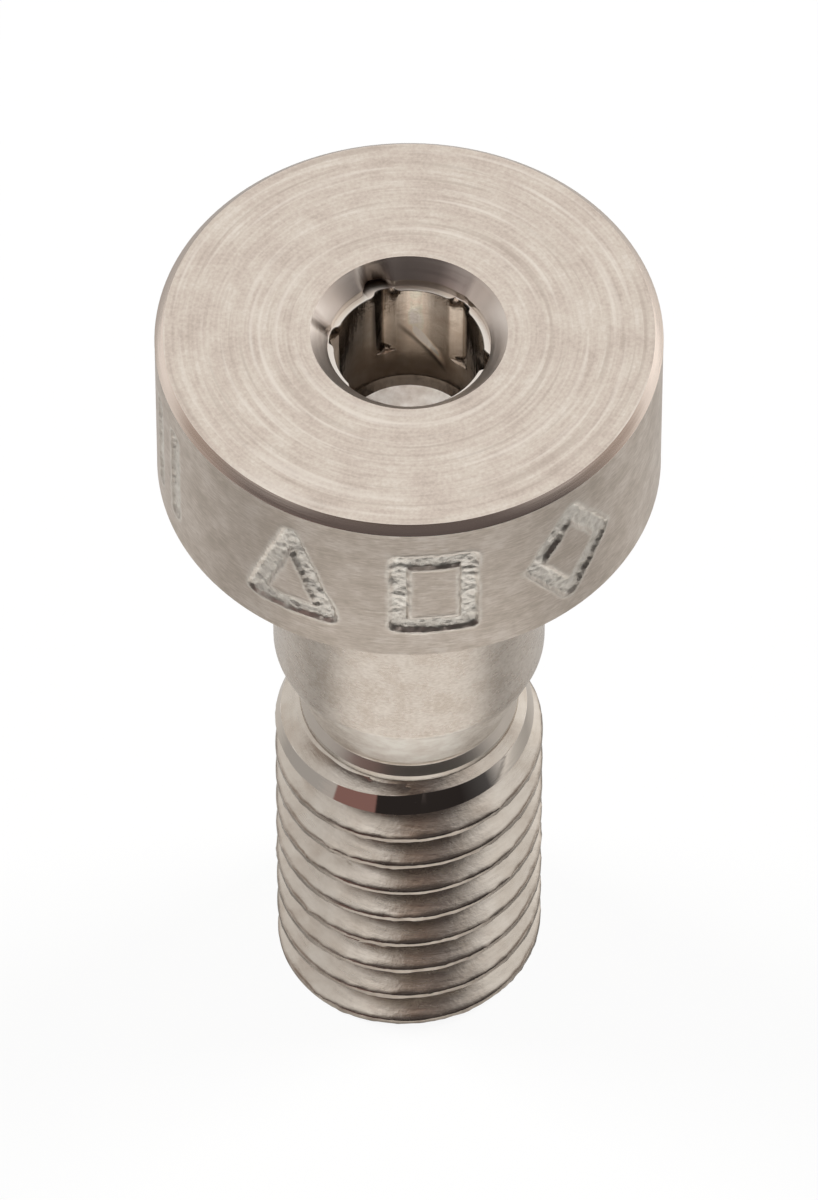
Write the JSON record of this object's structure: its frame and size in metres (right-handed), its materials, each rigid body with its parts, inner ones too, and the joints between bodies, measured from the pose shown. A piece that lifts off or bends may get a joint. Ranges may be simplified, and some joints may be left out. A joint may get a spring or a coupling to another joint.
{
  "type": "shoulder bolt",
  "caption": "Small stainless shoulder bolt with a round head, hexagon socket, plain shoulder, turned relief and a threaded end.",
  "frame": {"origin": "centre of the flat threaded end, which the bolt stands on", "axes": "+Z along the bolt's axis from the threaded end to the head, -Y to the front"},
  "size_m": [0.0092, 0.0092, 0.0175],
  "materials": {
    "stainless_steel": "turned and fine ground stainless steel, bare"
  },
  "bodies": {
    "root": {"shoulder_bolt": "stainless_steel"}
  },
  "joints": []
}
